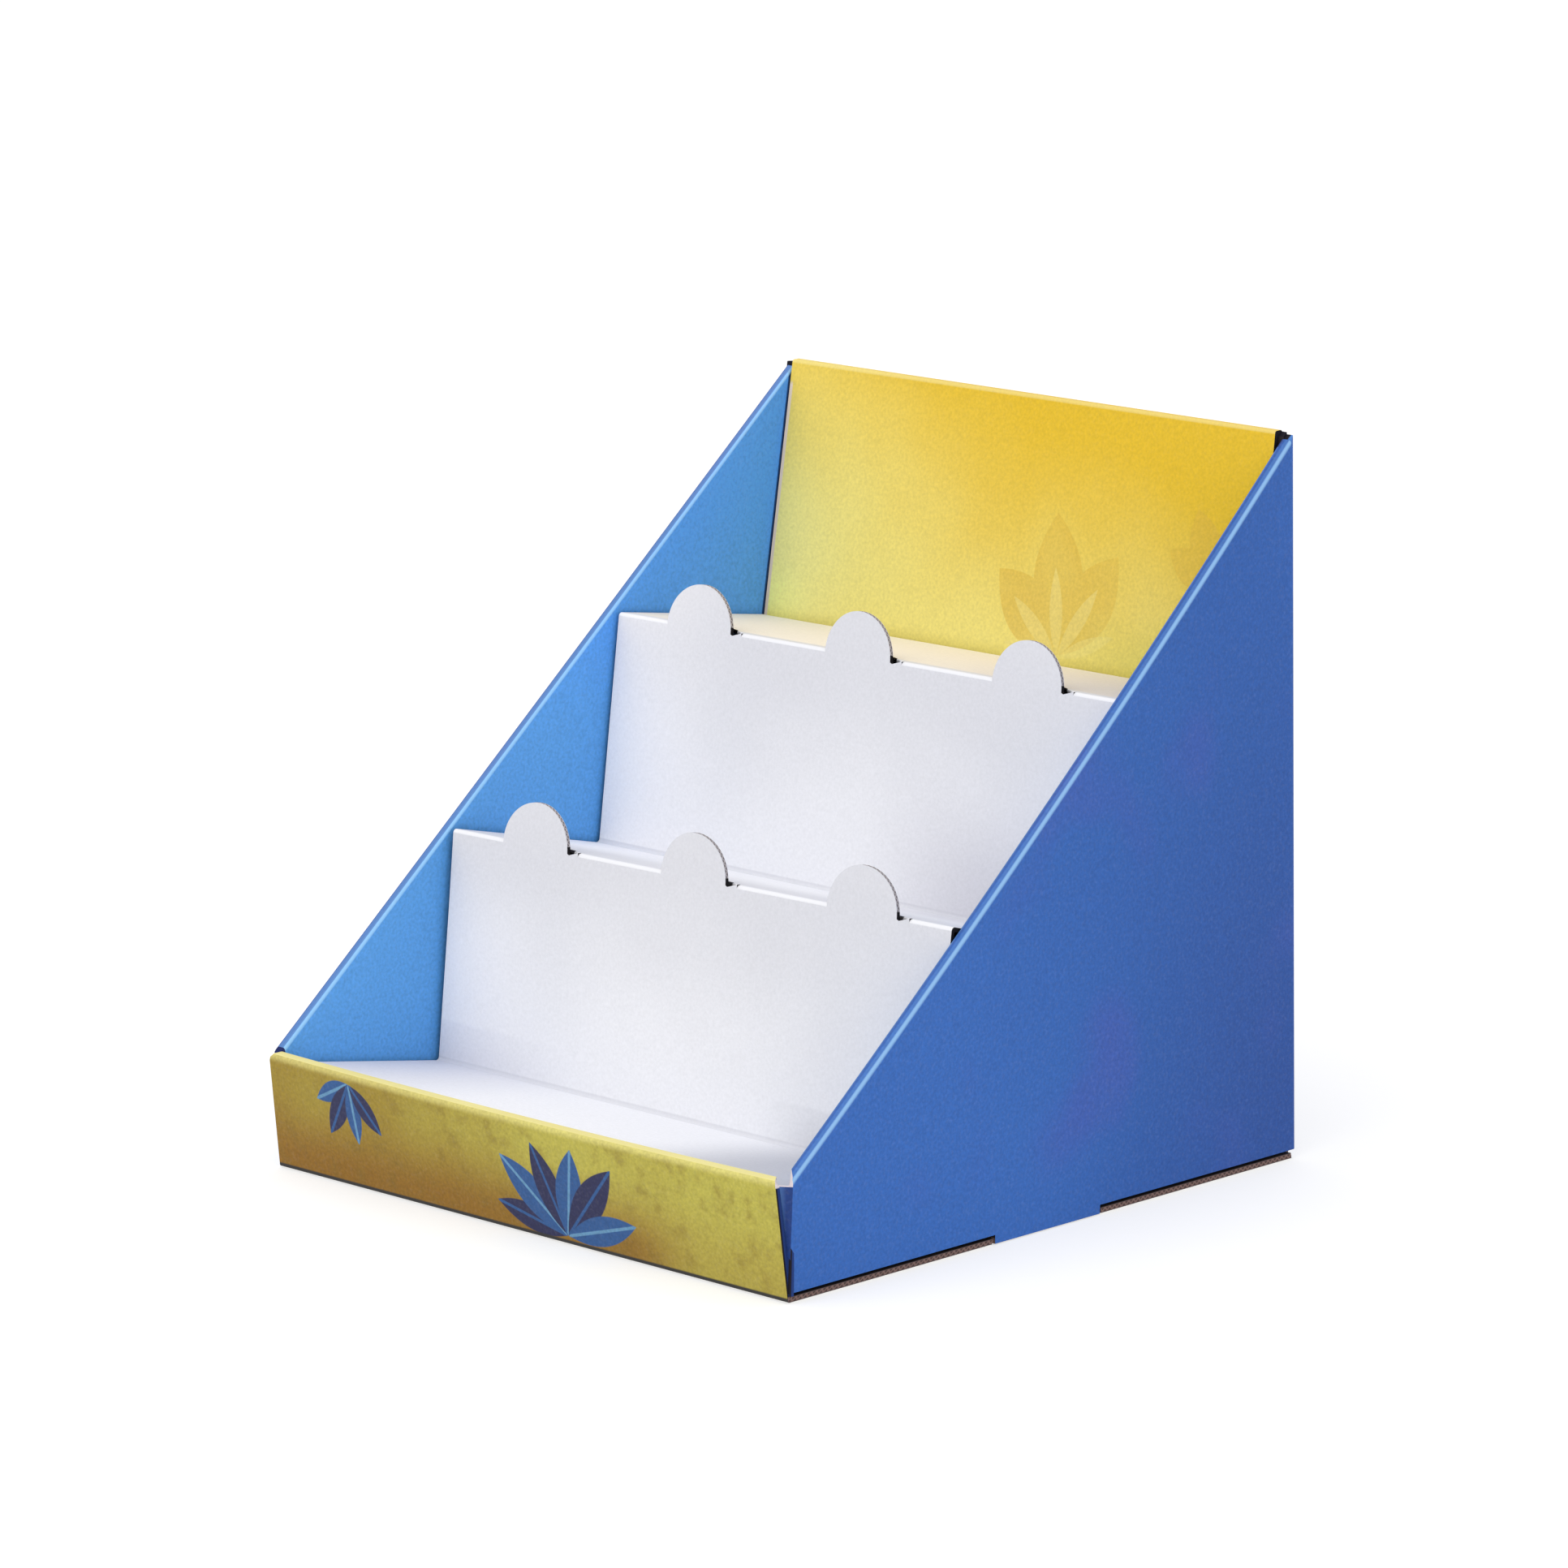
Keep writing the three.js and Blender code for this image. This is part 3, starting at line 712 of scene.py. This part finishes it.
def inside_material():
    """The inside's blue print, painted a stronger blue near the top to cancel the yellow back's bounce light.
    A painted shadow line runs beside the inner back."""
    recipe, colour = blue_print("blue_inside", srgb(90, 160, 228), srgb(96, 167, 238), srgb(90, 160, 232),
                                srgb(92, 160, 242))
    x, y, z = recipe.place()
    # Painted light: a stronger blue near the top against the yellow back's bounce light
    colour = recipe.blend(z.step(130.0, 215.0), colour, srgb(82, 157, 255))
    back = (inner_back_face(0.0) - DEPTH / 2) + (inner_back_face(1.0) - inner_back_face(0.0)) * z
    # Painted shadow line beside the inner back
    colour = recipe.blend((back - y).step(1.0, 0.5) * 0.85, colour, srgb(20, 30, 60))
    return folded_blue(recipe, colour, srgb(160, 208, 246), srgb(48, 58, 120))


side_prints = [blue_outside, inside_material()]
OUTSIDE, INSIDE = range(PRINT, PRINT + len(side_prints))
side_row_runs = [SIDE_CUTS[0], FOLD_STEPS, SIDE_CUTS[1], FOLD_STEPS, SIDE_CUTS[2] + 1]
outer_rows = SIDE_CUTS[0] + FOLD_STEPS + SIDE_CUTS[1]
side_row = np.arange(sum(side_row_runs) - 1)
arc_swell = np.sin(math.pi * (np.arange(FOLD_STEPS) + 0.5) / FOLD_STEPS) ** ARC_SHARPNESS
side_paint = np.where(side_row < outer_rows, OUTSIDE, INSIDE)
side_mask = (side_row[:, None] < SIDE_CUTS[0]) | (side_y[None, 1:] < ROLL_END + STEP)
for side, (sign, roll_start, slant, shades) in SIDES.items():
    mirror = np.array([sign, 1, 1])
    side_faces = side_grid(0.0, SIDE_RADIUS, roll_start, slant)
    side_backs = side_grid(BOARD, INNER_RADIUS, roll_start, slant)
    side_runs = run_lengths(side_faces)
    side_sheet = np.stack([np.broadcast_to(plan_places, side_runs.shape), side_runs], axis=-1)
    marks = np.repeat(shades, side_row_runs)
    for first in (SIDE_CUTS[0], outer_rows):
        marks[first:first + FOLD_STEPS] *= arc_swell
    seat(card("tray_side_" + side, side_prints, box_edge, [
        (side_faces * mirror, side_backs * mirror, side_sheet, marks[:, None], side_paint, side_mask)]))

# The front corner flaps: printed board folded in from the sides' front edges. They lie pressed between the
# two plies of the lip, their blue painted dark as the lip's shade, and show as a dark wedge beside its ends.
FLAP_REACH = 55.0
FLAP_TOP = LIP_HEIGHT - 2.1
FLAP_BOARD = BOARD - 0.3
FLAP_GAP = 0.1
FLAP_RADIUS = 1.0
FLAP_MARK = 0.6
FLAP_CUTS = [2, 12]
FLAP_ROWS = 10
# Painted shade: the flaps' blues are darkened as in the lip's shadow, with a painted highlight on their fold
flap_prints = [folded_blue(
    *blue_print("blue_flap_shaded", srgb(29, 56, 118), srgb(33, 62, 126), srgb(31, 54, 118), srgb(36, 66, 132)),
    srgb(90, 130, 190), srgb(20, 24, 60))]
flap_z = np.linspace(FOOT, FLAP_TOP, FLAP_ROWS)
flap_front = lip_face(flap_z) + BOARD + FLAP_GAP
flap_corners = np.stack([
    np.stack([0 * flap_z + WIDTH / 2, 0 * flap_z + CORNER_SETBACK], -1),
    np.stack([0 * flap_z + WIDTH / 2 - 2 * BOARD, flap_front], -1),
    np.stack([0 * flap_z + WIDTH / 2 - FLAP_REACH, flap_front], -1)])
flap_face = fold_line(flap_corners, [FLAP_RADIUS], FLAP_CUTS)
flap_back = fold_line(move_left(flap_corners, -FLAP_BOARD), [INNER_RADIUS], FLAP_CUTS)
flap_rows = np.broadcast_to(flap_z, flap_face.shape[:2])
flap_sheet = np.stack([run_lengths(flap_face), flap_rows], axis=-1)
flap_marks = FLAP_MARK * fold_marks(FLAP_CUTS)[:, None]
for side, (sign, *_) in SIDES.items():
    mirror = np.array([sign, 1, 1])
    grids = []
    for line in (flap_face, flap_back):
        push = LIP_BOW * (1 - (line[..., 0] / (WIDTH / 2)) ** 2) * flap_rows / LIP_HEIGHT
        grids.append(np.stack([line[..., 0], line[..., 1] - push, flap_rows], axis=-1) * mirror)
    seat(card("tray_flap_" + side, flap_prints, box_edge, [(*grids, flap_sheet, flap_marks, PRINT, None)]))

# The insert: one sheet of white card folded into a floor, two leaning risers and two treads. Half-round tabs
# are cut from the treads along their front edge and stand up in line with the risers, three to a riser. It is
# loose in the box.
INSERT_BOARD = 1.5
INSERT_FOLD = 1.3
INSERT_HALF = WIDTH / 2 - DOUBLE_WALL - 1.4
INSERT_GAP = 0.5
LOW_RISER_TOP, LOW_RISER_LEAN, LOW_TREAD_FALL = 78.5, 8.3, 17.3
HIGH_RISER_TOP, HIGH_RISER_LEAN, HIGH_TREAD_FALL = 160.0, 10.6, 11.1
FLOOR_FALL = 11.8
low_top = edge_height(LOW_RISER_TOP) + 1.5
high_top = edge_height(HIGH_RISER_TOP) - 1.6
floor_front = LIP_HEIGHT - 3.6
rear_tread = high_top - HIGH_TREAD_FALL
insert_corners = np.array([
    [inner_back_face(FOOT) - INSERT_GAP, FOOT], [inner_back_face(rear_tread) - INSERT_GAP, rear_tread],
    [HIGH_RISER_TOP, high_top], [HIGH_RISER_TOP - HIGH_RISER_LEAN, low_top - LOW_TREAD_FALL],
    [LOW_RISER_TOP, low_top], [LOW_RISER_TOP - LOW_RISER_LEAN, floor_front - FLOOR_FALL],
    [inner_lip_face(floor_front) + INSERT_GAP, floor_front], [inner_lip_face(FOOT) + INSERT_GAP, FOOT]])
HIGH_CREASE, LOW_CREASE = 2, 4
INSERT_CUTS = [16, 16, 24, 24, 24, 24, 10]
folds = len(insert_corners) - 2
insert_face = fold_line(insert_corners, [INSERT_FOLD] * folds, INSERT_CUTS)
insert_back = fold_line(move_left(insert_corners, INSERT_BOARD), [INNER_RADIUS] * folds, INSERT_CUTS)
insert_runs = run_lengths(insert_face)
insert_marks = fold_marks(INSERT_CUTS)
run_starts = [sum(INSERT_CUTS[:i]) + FOLD_STEPS * i for i in range(len(INSERT_CUTS))]


def insert_patch(rows, x, shift=(0.0, 0.0)):
    """Rows of the insert's section spread over columns at x, and each point moved by its shift in y and z."""
    columns = np.broadcast_to(x, (len(rows), len(x)))
    face, back = (
        np.stack([columns, *(line[rows, i][:, None] + shift[i] + 0 * columns for i in range(2))], axis=-1)
        for line in (insert_face, insert_back))
    sheet = np.stack([columns, np.broadcast_to(insert_runs[rows][:, None], columns.shape)], axis=-1)
    return face, back, sheet, insert_marks[rows][:, None], PRINT, None


def patch_to_hole(first, crease, x, hole):
    """A tab column's rows from one of them to the hole that the tab leaves in the tread behind a crease.
    The tread's rows are drawn back evenly until the last stands at the hole's edge, which is marked for
    painted shade on its cut edge."""
    last = run_starts[crease]
    rows = np.arange(first, last + 1)
    tread = unit(insert_corners[crease - 1] - insert_corners[crease])
    start = run_starts[crease - 1]
    share = np.clip((rows - start) / (last - start), 0, 1)[:, None]
    move = np.maximum(hole - (insert_face[last] - insert_corners[crease]) @ tread, 0)
    face, back, sheet, marks, paint, mask = insert_patch(rows, x, [share * (part * move) for part in tread])
    return face, back, sheet, np.where(rows[:, None] == last, -1.0, marks), paint, mask


def tab_patch(crease, x, outline, tab_end):
    """A tab and the slit beside it: rows that grow up along the riser's direction from the riser's first
    row to the outline's height above the crease. The slit's bottom is marked for painted shade on its cut
    edge."""
    first = run_starts[crease] + FOLD_STEPS
    riser_up = unit(insert_corners[crease] - insert_corners[crease + 1])
    rows = np.linspace(1, 0, TAB_ROWS)[:, None]
    rise = np.where(x < tab_end, np.maximum(outline, 0), outline)[None]
    grown = []
    for root in (insert_face[first], insert_back[first]):
        along = ((insert_corners[crease] - root) @ riser_up + rise) * rows
        grown.append(np.stack([np.broadcast_to(x, along.shape), root[0] + riser_up[0] * along,
                               root[1] + riser_up[1] * along], axis=-1))
    flat = np.stack([np.broadcast_to(x, grown[0].shape[:2]),
                     insert_runs[first] - (grown[0][..., 2] - insert_face[first][1])], axis=-1)
    beside = np.where((rows == 1) & (x > tab_end - 0.2), -1.0, 0.0)
    return (*grown, flat, beside, PRINT, None)


# A tab is a disc cut off at the crease, with a short slit to its right that dips below the crease and widens
# the tab's hole beyond its right flank, from an angle of RIGHT_FLANK on
TAB_RADIUS = 15.8
TAB_HEIGHT = 14.8
SLIT_LENGTH = 5.5
SLIT_DEPTH = 5.0
SLIT_DIP = 1.7
TABS = 3
TAB_COLUMNS, TAB_ROWS, SLIT_COLUMNS, PLAIN_COLUMNS = 33, 9, 7, 12
RIGHT_FLANK = 2.0
tab_centres = [INSERT_HALF * 2 * (i - 1) / TABS for i in range(TABS)]
tab_turn = np.linspace(0, math.pi, TAB_COLUMNS)
tab_outline = TAB_HEIGHT - TAB_RADIUS + TAB_RADIUS * np.sin(tab_turn)
slit = np.linspace(0, 1, SLIT_COLUMNS)[1:]
beside_tab = SLIT_DEPTH * (tab_turn > RIGHT_FLANK)
hole = np.concatenate([np.maximum(tab_outline, beside_tab), SLIT_DEPTH * (1 - slit)])
outline = np.concatenate([tab_outline, SLIT_DIP * (slit - 1)])
plain_edges = [-INSERT_HALF]
for centre in tab_centres:
    plain_edges += [centre - TAB_RADIUS, centre + TAB_RADIUS + SLIT_LENGTH]
plain_edges.append(INSERT_HALF)
patches = [insert_patch(np.arange(len(insert_face)), np.linspace(left, right, PLAIN_COLUMNS))
           for left, right in zip(plain_edges[::2], plain_edges[1::2])]
for centre in tab_centres:
    tab_end = centre + TAB_RADIUS
    x = np.concatenate([centre - TAB_RADIUS * np.cos(tab_turn), tab_end + SLIT_LENGTH * slit])
    patches += [
        patch_to_hole(0, HIGH_CREASE, x, hole), tab_patch(HIGH_CREASE, x, outline, tab_end),
        patch_to_hole(run_starts[HIGH_CREASE] + FOLD_STEPS, LOW_CREASE, x, hole),
        tab_patch(LOW_CREASE, x, outline, tab_end),
        insert_patch(np.arange(run_starts[LOW_CREASE] + FOLD_STEPS, len(insert_face)), x)]

# How the insert sits: what its columns drift to the right and its risers lift, at its left end, its left
# tab, its middle, its right tab and its right end. The drift grows from the counter up, and the lift from
# each riser's foot up, over the heights that follow.
LOW_DRIFT, HIGH_DRIFT = (1.0, 4.2, 2.2, 0.2, 0.8), (0.0, 2.2, 1.6, 0.8, 0.6)
LOW_LIFT, HIGH_LIFT = (-0.7, -0.2, 0.7, 1.7, 2.3), (-0.65, -0.4, 0.0, 0.3, 0.5)
DRIFT_GROWTH = 80.0
LOW_LIFT_GROWTH, HIGH_LIFT_GROWTH = 70.0, 80.0
LOW_LIFT_START, HIGH_LIFT_START = 38.0, low_top - LOW_TREAD_FALL
LIFT_MOST = 1.1


def ease_insert(points):
    """The insert as it sits: its columns drift to the right by an amount read off a line of places across
    the width, its risers lift or sink by another, and both change evenly from the lower riser to the upper
    and grow with the height above each riser's foot."""
    x, y, z = np.moveaxis(points, -1, 0)
    upper = np.clip((y - LOW_RISER_TOP) / (HIGH_RISER_TOP - LOW_RISER_TOP), 0, 1)
    stations = np.array([-INSERT_HALF, tab_centres[0], 0, tab_centres[2], INSERT_HALF])
    low_drift, high_drift, low_lift, high_lift = (
        np.interp(x, stations, table) for table in (LOW_DRIFT, HIGH_DRIFT, LOW_LIFT, HIGH_LIFT))
    drift = low_drift + (high_drift - low_drift) * upper
    low_share = np.clip((z - LOW_LIFT_START) / LOW_LIFT_GROWTH, 0, LIFT_MOST)
    high_share = np.clip((z - HIGH_LIFT_START) / HIGH_LIFT_GROWTH, 0, LIFT_MOST)
    lift = np.where(y < HIGH_RISER_TOP - HIGH_RISER_LEAN - 1, low_lift * low_share * (1 - upper),
                    high_lift * high_share)
    return np.stack([x + drift * np.clip(z / DRIFT_GROWTH, 0, 1), y, z + lift], axis=-1)


def insert_edge_material():
    """The insert's cut edges: white paper and a grey core, with painted shade in the slits and holes and at
    the right.
    """
    recipe = Recipe("insert_edge", 0.9)
    colour = flutes(recipe, srgb(214, 212, 218), srgb(176, 170, 172))
    x, y, z = recipe.place()
    mark = recipe.fold()
    # Painted shade in the slits and holes and at the right end
    shaded = mark.math("MAXIMUM", mark.step(-0.4, -0.6), x.step(117.0, 118.0))
    recipe.set(Base_Color=recipe.blend(shaded, colour, srgb(24, 22, 26)))
    return recipe.material


def insert_face_material():
    """The insert's white coated face: cool white with a faint blotch and grain. Painted shade greys it
    towards the risers' tops, low on the upper riser's right and at both ends of the floor, and painted light
    brightens it to the left. The upper tread has painted warm light, darker to the right; the inner folds get
    painted shade and the outer ones a painted highlight."""
    recipe = Recipe("insert_face", 0.7)
    across = recipe.sheet()[0]
    x, y, z = recipe.place()
    upper = y.step(-44.0, 20.0)
    height = recipe.node("ShaderNodeMix", {"data_type": "FLOAT"},
                         {0: upper, 2: (z - 26.0) / 84.0, 3: (z - 92.0) / 83.0})
    blotch = (recipe.noise(80.0, 2.0) - 0.5) * 0.5
    # Painted shade: greyer towards each riser's top
    colour = recipe.blend((height + blotch).step(0.1, 1.0), srgb(240, 240, 244), srgb(216, 216, 222))
    # Painted light: brighter to the left, most low on the risers
    insert_left_light = srgb(253, 250, 250)
    colour = recipe.blend(across.step(-60.0, -122.0) * height.step(1.0, 0.3), colour, insert_left_light)
    colour = recipe.blend(across.step(-50.0, -118.0) * upper * 0.35, colour, insert_left_light)
    # Painted shade low on the upper riser's right
    colour = recipe.blend(across.step(0.0, 70.0) * upper * height.step(0.7, 0.1), colour, srgb(220, 219, 225))
    # Painted warm light on the upper tread, darker to the right
    tread = recipe.blend(across.step(0.0, 110.0), srgb(246, 238, 226), srgb(220, 212, 206))
    colour = recipe.blend(y.step(37.0, 42.0) * z.step(150.0, 155.0), colour, tread)
    # Painted shade at both ends of the floor
    floor = y.step(-53.0, -57.0) * z.step(42.0, 40.0)
    colour = recipe.blend(floor * across.step(-40.0, -115.0) * 0.8, colour, srgb(212, 212, 222))
    colour = recipe.blend(floor * across.step(35.0, 85.0) * 0.95, colour, srgb(192, 192, 199))
    colour = grain(recipe, colour, 0.17)
    # Painted shade in the inner folds
    inner_fold_shade = 1.0 - z.step(42.0, 45.0) * (1.0 - y.step(14.0, 18.0) * z.step(104.0, 100.0))
    colour = recipe.blend(recipe.fold() * inner_fold_shade * 0.5, colour, srgb(206, 206, 212))
    # Painted highlight on the outer folds
    stretched = recipe.fold() * (1.0 - inner_fold_shade) * 0.6
    recipe.set(Base_Color=recipe.blend(stretched, colour, srgb(246, 246, 250)))
    recipe.bump(recipe.noise(14.0, 2.0), 0.12)
    return recipe.material


insert = card("stepped_insert_card", [insert_face_material()], insert_edge_material(), [
    (ease_insert(face), ease_insert(back), *rest) for face, back, *rest in patches])
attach(insert, "root")
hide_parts("stepped_insert")

# The floor: a plain sweep of matt white paper under the box. It glows a little, so it looks white and still
# takes a faint shadow.
FLOOR_HALF = 4.0
FLOOR_DROP = 0.0004
FLOOR_GLOW = 0.56
floor_signs = ((-1, -1), (1, -1), (1, 1), (-1, 1))
floor_corners = [(x * FLOOR_HALF, y * FLOOR_HALF, -FLOOR_DROP) for x, y in floor_signs]
floor_mesh = bpy.data.meshes.new("floor")
floor_mesh.from_pydata(floor_corners, [], [(0, 1, 2, 3)])
floor = bpy.data.objects.new("floor", floor_mesh)
scene.collection.objects.link(floor)
paper = Recipe("floor_paper", 0.9)
paper.set(Base_Color=paper.blend(paper.noise(400.0), srgb(186, 186, 186), srgb(190, 190, 190)))
paper.shader.inputs["Emission Color"].default_value = WHITE
paper.shader.inputs["Emission Strength"].default_value = FLOOR_GLOW
floor_mesh.materials.append(paper.material)

# The light: a white studio all round, a little brighter to the camera and in reflections, with one large
# soft lamp in front and overhead. The lamp's places and size are in metres, and its power in watts.
STUDIO_STRENGTH, SEEN_STRENGTH = 0.95, 1.0
LAMP_PLACE = np.array([0.1, -0.9, 1.8])
LAMP_AIM = np.array([0, 0, 0.1])
LAMP_SIZE = 1.6
LAMP_POWER = 9.0
scene.view_settings.view_transform = "Standard"
world = bpy.data.worlds.new("studio")
scene.world = world
world.use_nodes = True
tree = world.node_tree
background = tree.nodes["Background"]
background.inputs["Color"].default_value = WHITE
path = tree.nodes.new("ShaderNodeLightPath")
seen = tree.nodes.new("ShaderNodeMapRange")
seen.inputs["To Min"].default_value = STUDIO_STRENGTH
seen.inputs["To Max"].default_value = SEEN_STRENGTH
rays = path.outputs["Is Camera Ray"]
for kind in ("Is Glossy Ray", "Is Transmission Ray"):
    either = tree.nodes.new("ShaderNodeMath")
    either.operation = "MAXIMUM"
    tree.links.new(rays, either.inputs[0])
    tree.links.new(path.outputs[kind], either.inputs[1])
    rays = either.outputs[0]
tree.links.new(rays, seen.inputs["Value"])
tree.links.new(seen.outputs["Result"], background.inputs["Strength"])

light = bpy.data.lights.new("overhead", "AREA")
light.size = LAMP_SIZE
light.energy = LAMP_POWER
lamp = bpy.data.objects.new("overhead", light)
lamp_back = unit(LAMP_PLACE - LAMP_AIM)
lamp_right = unit(np.cross([0, 1, 0.01], lamp_back))
lamp_axes = np.eye(4)
lamp_axes[:3, :3] = np.stack([lamp_right, np.cross(lamp_back, lamp_right), lamp_back], axis=1)
lamp_axes[:3, 3] = LAMP_PLACE
lamp.matrix_world = Matrix(lamp_axes.tolist())
scene.collection.objects.link(lamp)
